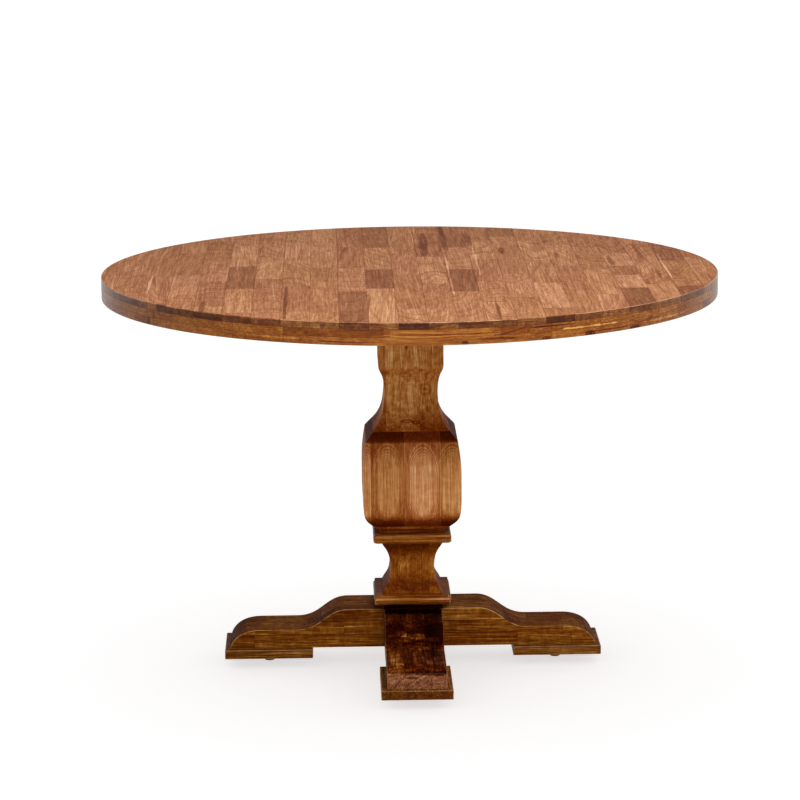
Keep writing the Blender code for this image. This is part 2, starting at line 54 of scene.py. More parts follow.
class Tree:
    """A few short calls for building a material's nodes."""

    def __init__(self, name):
        self.material = bpy.data.materials.new(name)
        self.material.use_nodes = True
        self.nodes = self.material.node_tree.nodes
        self.links = self.material.node_tree.links
        self.shader = self.nodes["Principled BSDF"]

    def put(self, socket, value):
        """Links an output to the socket, or sets the socket's own value."""
        if isinstance(value, bpy.types.NodeSocket):
            self.links.new(value, socket)
        elif value is not None:
            socket.default_value = value

    def node(self, kind, inputs=(), **settings):
        made = self.nodes.new(kind)
        for key, value in settings.items():
            setattr(made, key, value)
        for key, value in dict(inputs).items():
            self.put(made.inputs[key], value)
        return made

    def attribute(self, name):
        return self.node("ShaderNodeAttribute", attribute_name=name).outputs["Vector"]

    def math(self, operation, a, b=None, c=None, clamp=False):
        made = self.node("ShaderNodeMath", operation=operation, use_clamp=clamp)
        for socket, value in zip(made.inputs, (a, b, c)):
            self.put(socket, value)
        return made.outputs[0]

    def vector(self, operation, a, b=None):
        made = self.node("ShaderNodeVectorMath", operation=operation)
        self.put(made.inputs[0], a)
        self.put(made.inputs[1], b)
        return made.outputs["Value" if operation in ("LENGTH", "DOT_PRODUCT") else "Vector"]

    def parts(self, vector):
        return self.node("ShaderNodeSeparateXYZ", {"Vector": vector}).outputs

    def noise(self, vector, detail=2.0, roughness=0.5, scale=1.0):
        settings = {"Vector": vector, "Scale": scale, "Detail": detail, "Roughness": roughness}
        return self.node("ShaderNodeTexNoise", settings).outputs["Fac"]

    def grain_noise(self, wood, across, along, detail=2.0, roughness=0.5):
        """Noise on a board's own coordinates, finer across the grain than along it."""
        return self.noise(self.vector("MULTIPLY", wood, (across, across, along)), detail, roughness)

    def vary(self, value, noise, strength):
        """The value plus the noise, which is centred on zero and scaled by strength."""
        return self.math("MULTIPLY_ADD", self.math("SUBTRACT", noise, 0.5), strength, value)

    def remap(self, value, low, high, to_low=0.0, to_high=1.0, smooth=False):
        kind = "SMOOTHSTEP" if smooth else "LINEAR"
        made = self.node("ShaderNodeMapRange", interpolation_type=kind, clamp=True)
        for socket, number in zip(made.inputs, (value, low, high, to_low, to_high)):
            self.put(socket, number)
        return made.outputs["Result"]

    def mix(self, factor, a, b, blend="MIX"):
        made = self.node("ShaderNodeMix", data_type="RGBA", blend_type=blend)
        self.put(made.inputs["Factor"], factor)
        for socket, value in ((made.inputs[6], a), (made.inputs[7], b)):
            self.put(socket, (*value, 1.0) if isinstance(value, tuple) and len(value) == 3 else value)
        return made.outputs[2]

    def curve(self, value, stops):
        """A grey ramp through (position, brightness) stops."""
        made = self.node("ShaderNodeValToRGB", {"Fac": value})
        elements = made.color_ramp.elements
        while len(elements) < len(stops):
            elements.new(0.5)
        for element, (position, level) in zip(elements, stops):
            element.position = position
            element.color = (level, level, level, 1.0)
        return made.outputs["Color"]

    def surface(self, name, value):
        """Sets one of the surface's properties, by its name on the shader."""
        self.put(self.shader.inputs[name], value)

    def bump(self, height, strength, distance):
        settings = {"Strength": strength, "Distance": distance, "Height": height}
        self.surface("Normal", self.node("ShaderNodeBump", settings).outputs[0])


# How dark one growth ring is, from its inner side out, as (position, darkness).
RING_STOPS = ((0.0, 0.15), (0.12, 0.0), (0.30, 0.22), (0.62, 0.32), (0.86, 1.0), (0.93, 0.8), (1.0, 0.15))
LIGHTEST = -0.55  # the least stain that wood can hold


def growth_rings(t, wood, slow, quick, ring_gap, wander, dense):
    """How dark the growth rings are, round the pith at x = y = 0 of the board's coordinates."""
    distance = t.vector("LENGTH", t.vector("MULTIPLY", wood, (1.0, 1.0, 0.0)))
    distance = t.vary(distance, slow, 0.016 * wander)
    distance = t.vary(distance, quick, 0.0018 * wander)
    seasons = {"W": t.math("MULTIPLY", distance, 62.0), "Detail": 1.0}
    years = t.node("ShaderNodeTexNoise", seasons, noise_dimensions="1D").outputs["Fac"]
    phase = t.math("MULTIPLY_ADD", years, 2.4, t.math("DIVIDE", distance, ring_gap))
    ring = t.curve(t.math("FRACT", phase), RING_STOPS)
    ring = t.math("MULTIPLY", ring, t.remap(years, 0.3, 0.7, 0.5, 1.0))
    if dense:
        start, end = dense
        inner = t.remap(distance, start - 0.0008, start, 0.12, 1.0)
        outer = t.remap(distance, end, end + 0.0020, 1.0, 0.4)
        ring = t.math("MULTIPLY", ring, t.math("MULTIPLY", inner, outer))
        ring = t.math("ADD", ring, t.remap(distance, end - 0.0010, end + 0.0010, 0.0, 0.45))
    return ring


def glue_line(t):
    """1 at the edges of a board, and 0 from a millimetre inside them."""
    low = t.parts(t.attribute("seam_low"))
    high = t.parts(t.attribute("seam_high"))
    nearest = low[0]
    for distance in (high[0], low[1], high[1], low[2], high[2]):
        nearest = t.math("MINIMUM", nearest, distance)
    return t.remap(nearest, 0.0001, 0.0010, 1.0, 0.0, smooth=True)


def away_from(t, place, half_size, noise, wobble):
    """The distance from a place in the frame, where 1 is the wobbly edge of an ellipsoid."""
    offset = t.vector("SUBTRACT", t.node("ShaderNodeTexCoord").outputs["Object"], place)
    away = t.vector("LENGTH", t.vector("DIVIDE", offset, half_size))
    return t.vary(away, noise, wobble)


def stained(t, stain, soak, redness, darkness, neutral, cast):
    """The colour of wood that has soaked up this much stain."""
    golden = tuple(c * k for c, k in zip(stain, (1.0, 1.02, 0.95)))
    rosy = tuple(c * k for c, k in zip(stain, (1.0, 0.96, 1.0)))
    gamma = t.math("MULTIPLY_ADD", soak, 1.0 - neutral, 1.0)
    colour = t.node("ShaderNodeGamma", {"Color": t.mix(redness, golden, rosy), "Gamma": gamma}).outputs[0]
    shade = t.math("POWER", 0.42, t.math("MULTIPLY", soak, neutral))
    grey = t.node("ShaderNodeCombineXYZ", {0: shade, 1: shade, 2: shade}).outputs[0]
    colour = t.vector("MULTIPLY", colour, grey)
    return t.mix(t.remap(darkness, 0.3, 1.0, 0.0, 0.8), colour, t.mix(1.0, colour, cast, "MULTIPLY"))


def wood_material(name, stain, roughness=0.42, specular=0.07, ring_gap=0.0055, ring_strength=0.45,
                  wander=1.0, fineness=1.0, ripple=0.5, blotch=0.5, end_grain=1.2, thirst=1.2, seam=0.35,
                  edge_wear_and_highlight=0.45, edge_gloss=0.5, dense=None, knots=(), streaks=(), neutral=0.25,
                  dark_soak=0.9, cast=(0.92, 0.93, 0.93)):
    """Stained solid wood. Rings, fibres and pores follow each board's own "wood" coordinates.

    stain is the colour of pale, flat-sawn wood. Everything darker soaks up more stain, and the colour
    is raised to a power that grows with "soak". neutral is the share of that soaking which darkens
    without reddening. dark_soak is how much more stain the darkest heartwood soaks up, and cast
    tints it. end_grain is how much more the cut ends soak up, with thirst times the board's darkness
    on top. seam is how much more the glue lines soak up. edge_wear_and_highlight is how much less
    stain is left on eased edges, which come out lighter partly as stain rubbed thin and partly as a
    painted highlight; handling has polished them by edge_gloss.
    ring_gap is the usual width of a ring, ring_strength how plain the rings are, and wander how much
    they wander along the grain. dense is a (from, to) distance from the pith where they are plainest.
    fineness is the strength of the fibres, ripple how strongly they curl, and blotch how unevenly the
    stain took. knots holds the (place in the frame, half size, strength) of each knot or short crack,
    and streaks the same for long streaks of heartwood, or of pale wood where strength is below 0. A
    dark streak can also be a painted shadow.
    """
    t = Tree(name)
    wood = t.attribute("wood")
    darkness, redness, figure = t.parts(t.attribute("tone"))

    slow = t.grain_noise(wood, 15.0, 2.8)
    quick = t.grain_noise(wood, 75.0, 14.0, 3.0)
    ring = growth_rings(t, wood, slow, quick, ring_gap, wander, dense)

    # Long streaks of three widths, curl, cloudy stain, open pores and dark veins.
    band = t.grain_noise(wood, 95.0, 2.6, 2.0, 0.6)
    streak = t.grain_noise(wood, 330.0, 8.0, 2.0, 0.6)
    fibre = t.grain_noise(wood, 900.0, 26.0, 3.0, 0.65)
    curl = t.grain_noise(wood, 60.0, 95.0, 2.0, 0.6)
    cloud = t.grain_noise(wood, 22.0, 7.0)
    pore = t.remap(t.grain_noise(wood, 2100.0, 85.0, 1.0), 0.60, 0.70, smooth=True)
    vein = t.remap(t.grain_noise(wood, 48.0, 2.2, 1.0), 0.66, 0.74, smooth=True)

    # How square the surface is to the grain: 0 along the board and 1 on its cut end.
    facing = t.vector("DOT_PRODUCT", t.node("ShaderNodeTexCoord").outputs["Normal"], t.attribute("grain"))
    end = t.math("POWER", t.math("ABSOLUTE", facing), 1.4)
    glue = glue_line(t)

    soak = t.math("MULTIPLY", t.math("SUBTRACT", ring, 0.25), t.math("MULTIPLY", figure, ring_strength))
    for noise, strength in ((band, 0.7), (streak, 1.3 * fineness), (fibre, fineness), (curl, ripple),
                            (cloud, blotch)):
        soak = t.vary(soak, noise, strength)
    soak = t.math("MULTIPLY_ADD", darkness, dark_soak, soak)
    for place, half_size, strength in knots:
        away = away_from(t, place, half_size, quick, 1.2)
        rim = t.remap(t.math("ABSOLUTE", t.math("SUBTRACT", away, 1.0)), 0.0, 0.4, 0.6 * strength, 0.0)
        heart = t.remap(away, 0.2, 0.65, strength, 0.0)
        soak = t.math("ADD", soak, t.math("MAXIMUM", rim, heart))
    for place, half_size, strength in streaks:
        away = away_from(t, place, half_size, band, 1.5)
        soak = t.math("ADD", soak, t.remap(away, 0.7, 1.0, strength, 0.0, smooth=True))
    soak = t.math("MULTIPLY_ADD", end, t.math("MULTIPLY_ADD", darkness, thirst, end_grain), soak)
    soak = t.math("MULTIPLY_ADD", t.math("MULTIPLY", vein, t.remap(figure, 0.5, 1.0)), 0.6, soak)
    soak = t.math("MULTIPLY_ADD", pore, 0.25, soak)
    soak = t.math("MULTIPLY_ADD", glue, seam, soak)
    # Eased edges come out lighter: partly stain rubbed thin by handling, partly a painted highlight along
    # the edge.
    rubbed_and_highlit = t.node("ShaderNodeAttribute", attribute_name="wear_and_highlight").outputs["Fac"]
    rubbed_and_highlit = t.math("MULTIPLY", rubbed_and_highlit, t.remap(t.math("ADD", streak, cloud), 0.75, 1.15))
    soak = t.math("MAXIMUM", t.math("MULTIPLY_ADD", rubbed_and_highlit, -edge_wear_and_highlight, soak), LIGHTEST)

    t.surface("Base Color", stained(t, stain, soak, redness, darkness, neutral, cast))
    rough = t.math("MULTIPLY_ADD", pore, 0.18, t.vary(roughness, fibre, 0.20))
    t.surface("Roughness", rough)
    t.surface("Specular IOR Level", specular)
    t.surface("Coat Weight", t.math("MULTIPLY", rubbed_and_highlit, edge_gloss))
    t.surface("Coat Roughness", 0.3)
    height = t.math("MULTIPLY_ADD", fibre, 0.35, t.math("MULTIPLY", ring, -0.25))
    for groove, depth in ((streak, 0.3), (pore, -0.8), (glue, -0.6)):
        height = t.math("MULTIPLY_ADD", groove, depth, height)
    t.bump(height, 0.4, 0.0005)
    return t.material


def bearer_material(name, axis):
    """Unlacquered wood of a hidden bearer, with its grain along one axis of the frame."""
    light = (0.40, 0.24, 0.12)
    dark = (0.25, 0.13, 0.06)
    t = Tree(name)
    place = t.node("ShaderNodeTexCoord").outputs["Object"]
    squeeze = [1.0, 1.0, 1.0]
    squeeze[axis] = 0.06
    along = t.vector("MULTIPLY", place, tuple(squeeze))
    bands = t.noise(along, 3.0, 0.6, 90.0)
    fibre = t.noise(along, 3.0, 0.6, 900.0)
    colour = t.mix(t.remap(bands, 0.35, 0.7), light, dark)
    colour = t.mix(t.remap(fibre, 0.3, 0.8, 0.0, 0.35), colour, dark)
    t.surface("Base Color", colour)
    t.surface("Roughness", t.remap(fibre, 0.2, 0.8, 0.55, 0.75))
    t.surface("Specular IOR Level", 0.3)
    t.bump(fibre, 0.4, 0.0004)
    return t.material


def steel_material():
    t = Tree("zinc_plated_steel")
    place = t.node("ShaderNodeTexCoord").outputs["Object"]
    blotch = t.noise(place, 3.0, 0.6, 260.0)
    grain = t.noise(t.vector("MULTIPLY", place, (1.0, 1.0, 6.0)), 2.0, 0.5, 900.0)
    bright = (0.62, 0.62, 0.60)
    dull = (0.46, 0.45, 0.42)
    t.surface("Base Color", t.mix(t.remap(blotch, 0.3, 0.7), bright, dull))
    t.surface("Metallic", 1.0)
    t.surface("Roughness", t.remap(grain, 0.2, 0.8, 0.25, 0.48))
    t.bump(grain, 0.2, 0.0002)
    return t.material


def rubber_material():
    t = Tree("black_rubber")
    place = t.node("ShaderNodeTexCoord").outputs["Object"]
    fine = t.noise(place, 2.0, 0.6, 2600.0)
    dust = t.noise(place, 3.0, 0.6, 180.0)
    clean = (0.018, 0.018, 0.019)
    dusty = (0.06, 0.057, 0.052)
    t.surface("Base Color", t.mix(t.remap(dust, 0.45, 0.8), clean, dusty))
    t.surface("Roughness", t.remap(fine, 0.2, 0.8, 0.55, 0.8))
    t.bump(fine, 0.3, 0.0002)
    return t.material


# -------- staves

class Stave:
    """One board of a glued-up piece: its box, the tree it came from and its colour.

    low and high are the corners of its box in the frame, FAR where it runs on to the surface.
    grain is the axis (0, 1 or 2) it runs along, give or take tilt. tone is (darkness, redness,
    figure). matrix takes places in the frame to the tree's own, with its pith along Z.
    """

    def __init__(self, key, low, high, grain, tilt=0.05, tone=None):
        dice = random.Random("stave " + key)
        self.low = Vector(low)
        self.high = Vector(high)
        centre = Vector([(a + b) / 2 if max(abs(a), abs(b)) < FAR else 0.0 for a, b in zip(low, high)])
        angle = dice.uniform(0, 2 * math.pi)
        distance = dice.uniform(0.015, 0.08)
        side, other = [i for i in range(3) if i != grain]
        centre[side] += distance * math.cos(angle)
        centre[other] += distance * math.sin(angle)
        along = Vector((0.0, 0.0, 0.0))
        along[grain] = 1.0
        along[side] = dice.uniform(-tilt, tilt)
        along[other] = dice.uniform(-tilt, tilt)
        self.grain = along.normalized()
        turn = along.rotation_difference(Vector((0.0, 0.0, 1.0))).to_matrix().to_4x4()
        slide = Matrix.Translation((0.0, 0.0, dice.uniform(1.0, 9.0)))
        self.matrix = slide @ turn @ Matrix.Translation(-centre)
        self.tone = tone or stave_tone(dice)
        self.finish = 0  # which of the piece's materials it has


def stave_tone(dice, dark_share=0.10):
    """(darkness, redness, figure): most staves are mid-brown, a few are dark heartwood."""
    kind = dice.random()
    if kind < dark_share:
        darkness = dice.uniform(0.55, 0.85)
    elif kind < 2.5 * dark_share:
        darkness = dice.uniform(0.30, 0.50)
    else:
        darkness = dice.uniform(0.0, 0.28)
    return darkness, dice.random(), dice.uniform(0.3, 1.0)


def darker(tone, amount):
    return (tone[0] + amount, *tone[1:])


def interval(value, cuts):
    """The (low, high) pair of neighbouring cuts that holds value, FAR beyond the last one."""
    low = max([c for c in cuts if c <= value], default=-FAR)
    high = min([c for c in cuts if c > value], default=FAR)
    return low, high


def bisect(bm, geometry, axis, position):
    """Cuts this geometry with a plane across an axis, and returns it with the new edges and faces."""
    point = Vector((0.0, 0.0, 0.0))
    normal = Vector((0.0, 0.0, 0.0))
    point[axis] = position
    normal[axis] = 1.0
    made = bmesh.ops.bisect_plane(bm, geom=geometry, dist=1e-6, plane_co=point, plane_no=normal)
    return made["geom"]


def split(bm, faces, axis, cuts):
    """Cuts these faces at positions along an axis, and groups them by the interval they fall in."""
    geometry = set(faces)
    for face in faces:
        geometry.update(face.edges)
        geometry.update(face.verts)
    geometry = list(geometry)
    for cut in cuts:
        geometry = bisect(bm, geometry, axis, cut)
    groups = {}
    for face in geometry:
        if isinstance(face, bmesh.types.BMFace):
            place = interval(face.calc_center_median()[axis], cuts)
            groups.setdefault(place, []).append(face)
    return sorted(groups.items(), key=lambda item: item[0])


def label(bm, board_faces):
    """Writes each board's coordinates, edges and colour into the mesh, from (stave, faces) pairs."""
    layers = bm.loops.layers
    wood = layers.float_vector.new("wood")
    grain = layers.float_vector.new("grain")
    seam_low = layers.float_vector.new("seam_low")
    seam_high = layers.float_vector.new("seam_high")
    tone = layers.float_vector.new("tone")
    # Eased faces are marked for a lighter colour: rubbed stain and a painted edge highlight.
    wear_and_highlight = layers.float.new("wear_and_highlight")
    eased = bm.faces.layers.int.get("eased")
    for stave, faces in board_faces:
        for face in faces:
            face.material_index = stave.finish
            for loop in face.loops:
                loop[wear_and_highlight] = face[eased]
                place = loop.vert.co
                loop[wood] = stave.matrix @ place
                loop[grain] = stave.grain
                loop[seam_low] = place - stave.low
                loop[seam_high] = stave.high - place
                loop[tone] = stave.tone


def new_object(name, data):
    made = bpy.data.objects.new(name, data)
    bpy.context.scene.collection.objects.link(made)
    return made


def finish_piece(name, bm, board_faces, materials, nodes, smooth=32.0):
    """Turns the mesh into a piece that rides on the table and stands for these CAD nodes."""
    label(bm, board_faces)
    bmesh.ops.recalc_face_normals(bm, faces=bm.faces)
    mesh = bpy.data.meshes.new(name)
    bm.to_mesh(mesh)
    bm.free()
    obj = new_object(name, mesh)
    mesh.shade_smooth()
    mesh.set_sharp_from_angle(angle=math.radians(smooth))
    normals = obj.modifiers.new("flat faces stay flat", "WEIGHTED_NORMAL")
    normals.keep_sharp = True
    for material in materials:
        mesh.materials.append(material)
    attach(obj, BODY)
    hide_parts(*nodes)
    return obj


# -------- shapes

def arc(centre, radius, start, end, steps):
    """Points of a circular arc between two angles in degrees, both ends included."""
    points = []
    for i in range(steps + 1):
        angle = math.radians(start + (end - start) * i / steps)
        points.append((centre[0] + radius * math.cos(angle), centre[1] + radius * math.sin(angle)))
    return points


def bezier(start, handle_1, handle_2, end, steps=16):
    """Points of a cubic curve, without its first point."""
    points = []
    for i in range(1, steps + 1):
        t = i / steps
        weights = ((1 - t) ** 3, 3 * t * (1 - t) ** 2, 3 * t * t * (1 - t), t ** 3)
        corners = (start, handle_1, handle_2, end)
        points.append(tuple(sum(w * c[k] for w, c in zip(weights, corners)) for k in (0, 1)))
    return points


def skin(bm, rings, eased=lambda row, column: False):
    """Joins rings of vertices, each with the same number of points, into a closed skin.

    eased(row, column) says whether a face lies on an eased edge, whose colour comes out lighter:
    partly stain rubbed thin, partly a painted highlight.
    """
    layer = bm.faces.layers.int.new("eased")
    for row, (upper, lower) in enumerate(zip(rings[:-1], rings[1:])):
        for i in range(len(upper)):
            j = (i + 1) % len(upper)
            face = bm.faces.new((upper[i], lower[i], lower[j], upper[j]))
            face[layer] = int(eased(row, i))
    bm.faces.new(rings[0])
    bm.faces.new(list(reversed(rings[-1])))


def disc_mesh(profile, eased_rows, segments=192):
    """A solid of revolution from (radius, height) points that run down its outer side."""
    bm = bmesh.new()
    rings = []
    for radius, height in profile:
        angles = [2 * math.pi * i / segments for i in range(segments)]
        rings.append([bm.verts.new((radius * math.cos(a), radius * math.sin(a), height)) for a in angles])
    skin(bm, rings, lambda row, column: row in eased_rows)
    return bm


def square_mesh(profile, corner, eased_rows=(), steps=4):
    """A square solid with eased corners, from (half width, height) points that run down."""
    bm = bmesh.new()
    rings = []
    for half, height in profile:
        ring = []
        for quarter in range(4):
            turn = math.radians(90 * quarter)
            for x, y in arc((half - corner, half - corner), corner, 0, 90, steps):
                ring.append(bm.verts.new((x * math.cos(turn) - y * math.sin(turn),
                                          x * math.sin(turn) + y * math.cos(turn), height)))
        rings.append(ring)
    skin(bm, rings, lambda row, column: column % (steps + 1) < steps or row in eased_rows)
    return bm


def ease_edges(bm, edges, width):
    """Rounds these edges and marks the new faces as eased."""
    layer = bm.faces.layers.int.get("eased") or bm.faces.layers.int.new("eased")
    made = bmesh.ops.bevel(bm, geom=edges, offset=width, segments=3, profile=0.5, affect="EDGES",
                           clamp_overlap=True)
    for face in made["faces"]:
        face[layer] = 1


def extruded_mesh(outline, half_width, ease, axis):
    """A plate from an (along, height) outline, with eased long edges, lying along X (0) or Y (1)."""
    bm = bmesh.new()
    front = [bm.verts.new((x, -half_width, z)) for x, z in outline]
    back = [bm.verts.new((x, half_width, z)) for x, z in outline]
    skin(bm, [front, back])
    bmesh.ops.recalc_face_normals(bm, faces=bm.faces)
    rim = [e for e in bm.edges if any(len(f.verts) > 4 for f in e.link_faces)]
    ease_edges(bm, rim, ease)
    if axis == 1:
        bmesh.ops.rotate(bm, matrix=Matrix.Rotation(math.pi / 2, 3, "Z"), verts=bm.verts)
    return bm


def eased_box(low, high, ease):
    bm = bmesh.new()
    bmesh.ops.create_cube(bm, size=1.0)
    size = Vector(high) - Vector(low)
    bmesh.ops.transform(bm, matrix=Matrix.Diagonal((*size, 1.0)), verts=bm.verts)
    bmesh.ops.translate(bm, vec=(Vector(low) + Vector(high)) / 2, verts=bm.verts)
    ease_edges(bm, bm.edges[:], ease)
    return bm


def cut_out(bm, centre, reach):
    """Removes a square of the flat underside round a point, and returns the edges left round it."""
    under = []
    for face in bm.faces:
        low = [min(v.co[i] for v in face.verts) - 1e-5 for i in range(3)]
        high = [max(v.co[i] for v in face.verts) + 1e-5 for i in range(3)]
        if high[2] - low[2] < 1e-4 and all(low[i] <= centre[i] <= high[i] for i in range(3)):
            under.append(face)
    geometry = under[:]
    for face in under:
        geometry += [*face.edges, *face.verts]
    for axis in (0, 1):
        for sign in (-1, 1):
            geometry = bisect(bm, geometry, axis, centre[axis] + sign * reach)
    inside = []
    for face in geometry:
        if isinstance(face, bmesh.types.BMFace):
            away = face.calc_center_median() - Vector(centre)
            if max(abs(away.x), abs(away.y)) < reach:
                inside.append(face)
    edges = {edge for face in inside for edge in face.edges}
    border = [edge for edge in edges if sum(face in inside for face in edge.link_faces) == 1]
    bmesh.ops.delete(bm, geom=inside, context="FACES_ONLY")
    return border


def drill(bm, centre, radius, depth, steps=24):
    """A blind round hole, drilled up into the flat underside."""
    border = cut_out(bm, centre, 1.3 * radius)
    rings = []
    for height in (0.0, depth):
        ring = []
        for x, y in arc((centre[0], centre[1]), radius, 0, 360, steps)[:-1]:
            ring.append(bm.verts.new((x, y, centre[2] + height)))
        rings.append(ring)
    mouth = []
    for i in range(steps):
        bm.faces.new((rings[0][i], rings[0][i - 1], rings[1][i - 1], rings[1][i]))
        mouth.append(bm.edges.get((rings[0][i], rings[0][i - 1])))
    bm.faces.new(rings[1])
    bmesh.ops.triangle_fill(bm, use_beauty=True, edges=border + mouth)


# -------- top

STAVE_PITCH = 0.0516
STAVE_OFFSET = 0.0184  # the glue line of column 0
STRIP_PITCH = 0.0490
FIRST_STRIP_SEAM = -0.535
STRIP_SEAMS = 23
RIM_EASE = 0.0016

# The staves that stand out in the face layer: column -> (far end, darkness) of each, front to back.
FACE_STAVES = {
    -9: ((-0.300, 0.2), (-0.030, 0.0), (0.240, 0.25), (FAR, 0.1)),
    -8: ((-0.380, 0.1), (-0.110, 0.25), (0.150, 0.1), (0.400, 0.3), (FAR, 0.1)),
    -7: ((-0.465, 0.2), (-0.200, 0.0), (0.065, 0.50), (0.330, -0.05), (FAR, 0.2)),
    -6: ((-0.350, 0.1), (-0.090, 0.2), (0.180, 0.0), (FAR, 0.15)),
    -5: ((-0.455, 0.0), (-0.180, 0.25), (0.095, 0.15), (0.370, 0.0), (FAR, 0.15)),
    -4: ((-0.470, 0.05), (-0.210, 0.15), (0.040, 0.25), (0.240, 0.1), (FAR, 0.0)),
    -3: ((-0.245, 0.52), (0.030, 0.05), (0.300, 0.25), (FAR, 0.3)),
    -2: ((-0.215, -0.1), (0.010, 0.60), (0.290, 0.1), (FAR, 0.45)),
    -1: ((-0.330, 0.1), (-0.060, 0.2), (0.210, 0.15), (FAR, 0.2)),
    0: ((-0.430, 0.05), (-0.165, 0.2), (0.165, 0.0), (0.480, 0.35), (FAR, 0.2)),
    1: ((-0.260, 0.15), (0.000, 0.60), (0.280, 0.1), (FAR, 0.4)),
    2: ((-0.380, 0.0), (-0.140, 0.15), (0.120, 0.2), (0.350, 0.05), (FAR, 0.25)),
    3: ((-0.330, 0.15), (-0.060, 0.0), (0.230, 0.25), (0.420, 0.1), (FAR, 0.5)),
    4: ((-0.450, 0.25), (-0.170, -0.15), (0.100, 0.1), (0.360, 0.05), (FAR, 0.2)),
    5: ((-0.260, 0.15), (0.030, 0.2), (0.300, 0.0), (FAR, 0.15)),
    6: ((-0.310, 0.1), (-0.020, 0.0), (0.270, 0.2), (FAR, 0.25)),
    7: ((-0.240, 0.60), (-0.090, -0.1), (0.020, 0.35), (0.180, -0.1), (FAR, 0.3)),
    8: ((-0.200, 0.0), (0.050, 0.1), (0.300, 0.2), (FAR, 0.1)),
}
FIRST_COLUMN = -12
# How much darker the front cut end of each column is than its face, from the first column.
RIM_DARKNESS = [0.6, 0.6, 0.5, 0.6, 0.9, 0.5, 0.4, 0.2, 0.2, 0.1, 0.5, 0.9,
                0.4, 0.6, 0.5, 0.2, 0.8, 0.3, 0.2, 0.0, 0.2, 0.1, 0.1, 0.1]
# Long narrow streaks in the top face: (x, y, half width, half length, strength) of each.
FACE_STREAK_ROWS = (
    (0.036, 0.320, 0.0100, 0.180, 0.6),
    (0.077, 0.390, 0.0070, 0.230, 0.6),
    (0.128, 0.380, 0.0070, 0.130, 0.5),
    (0.188, 0.230, 0.0070, 0.045, 0.7),
    (0.390, 0.080, 0.0070, 0.080, 0.6),
    (-0.232, -0.370, 0.0040, 0.220, 0.8),
    (-0.380, -0.400, 0.0060, 0.080, 0.6),
    (0.145, -0.480, 0.0040, 0.100, 0.8),
    (0.0735, -0.050, 0.0025, 0.280, -0.6),
    (0.132, 0.120, 0.0025, 0.220, -0.5),
    (0.487, 0.030, 0.0028, 0.170, -0.7),
    (-0.486, -0.150, 0.0028, 0.120, -0.7),
    (-0.328, 0.110, 0.0025, 0.090, -0.5),
)
STREAK_DEPTH = 0.05  # more than the face layer's thickness, so that a streak goes right through
FACE_STREAKS = [((x, y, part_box("top_face_layer")[1].z), (half_width, half_length, STREAK_DEPTH), strength)
                for x, y, half_width, half_length, strength in FACE_STREAK_ROWS]
# Streaks in the rim's middle and bottom layers: place, half size, strength.
RIM_STREAKS = (
    ((0.300, -0.500, 0.7372), (0.080, 0.060, 0.0018), -0.7),
    ((0.060, -0.580, 0.7395), (0.090, 0.020, 0.0014), 0.5),
    ((0.235, -0.535, 0.7445), (0.060, 0.060, 0.0016), 0.8),
    ((0.340, -0.475, 0.7270), (0.070, 0.060, 0.0014), 0.7),
    ((0.450, -0.372, 0.7290), (0.080, 0.080, 0.0020), -0.4),
    ((-0.130, -0.569, 0.7265), (0.070, 0.020, 0.0012), 0.7),
    ((-0.250, -0.528, 0.7300), (0.080, 0.040, 0.0016), -0.3),
    ((0.140, -0.567, 0.7290), (0.050, 0.020, 0.0030), 0.6),
)


def random_cuts(dice, low, high, shortest, longest):
    """End joints along one column of staves."""
    cuts = [low + dice.uniform(0.0, longest)]
    while cuts[-1] < high:
        cuts.append(cuts[-1] + dice.uniform(shortest, longest))
    return cuts


def build_top_face(material, rim_material):
    """The face layer. The staves' cut ends and eased edge, at the rim, have a material of their own."""
    low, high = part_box("top_face_layer")
    radius = high.x
    rim = arc((radius - RIM_EASE, high.z - RIM_EASE), RIM_EASE, 90, 0, 5)
    bm = disc_mesh(rim + [(radius, low.z)], range(5))
    columns = [STAVE_OFFSET + STAVE_PITCH * k for k in range(FIRST_COLUMN, -FIRST_COLUMN)]
    columns = [x for x in columns if abs(x) < radius]
    boards = []
    for (left, right), faces in split(bm, bm.faces, 0, columns):
        dice = random.Random(f"top column {left:.4f}")
        number = round((max(left, -radius) - STAVE_OFFSET) / STAVE_PITCH)
        known = FACE_STAVES.get(number)
        cuts = random_cuts(dice, -radius, radius, 0.19, 0.32)
        if known:
            cuts = [end for end, _ in known if end < FAR]
        for place, ((near, far), group) in enumerate(split(bm, faces, 1, cuts)):
            key = f"top {left:.4f} {near:.4f}"
            tone = stave_tone(random.Random(key), 0.02)
            if known:
                tone = (known[place][1], *tone[1:])
            stave = Stave(key, (left, near, -FAR), (right, far, FAR), 1, tilt=0.045, tone=tone)
            boards.append((stave, [face for face in group if face.normal.z > 0.5]))
            cut_end = copy.copy(stave)
            at_front = place == 0
            extra = RIM_DARKNESS[number - FIRST_COLUMN] if at_front else dice.uniform(0.0, 0.5)
            cut_end.tone = darker(tone, extra)
            cut_end.finish = 1
            boards.append((cut_end, [face for face in group if face.normal.z <= 0.5]))
    return finish_piece("top_staves", bm, boards, [material, rim_material], ["top_face_layer"])


# Dark knots that break out at the lower edge of the rim: place, half size, strength.
RIM_KNOTS = (
    ((0.081, -0.578, 0.7245), (0.0050, 0.006, 0.0030), 1.8),
    ((0.225, -0.539, 0.7235), (0.0070, 0.006, 0.0032), 1.8),
    ((0.305, -0.498, 0.7240), (0.0080, 0.008, 0.0040), 2.2),
    ((0.390, -0.435, 0.7230), (0.0090, 0.009, 0.0032), 2.2),
)
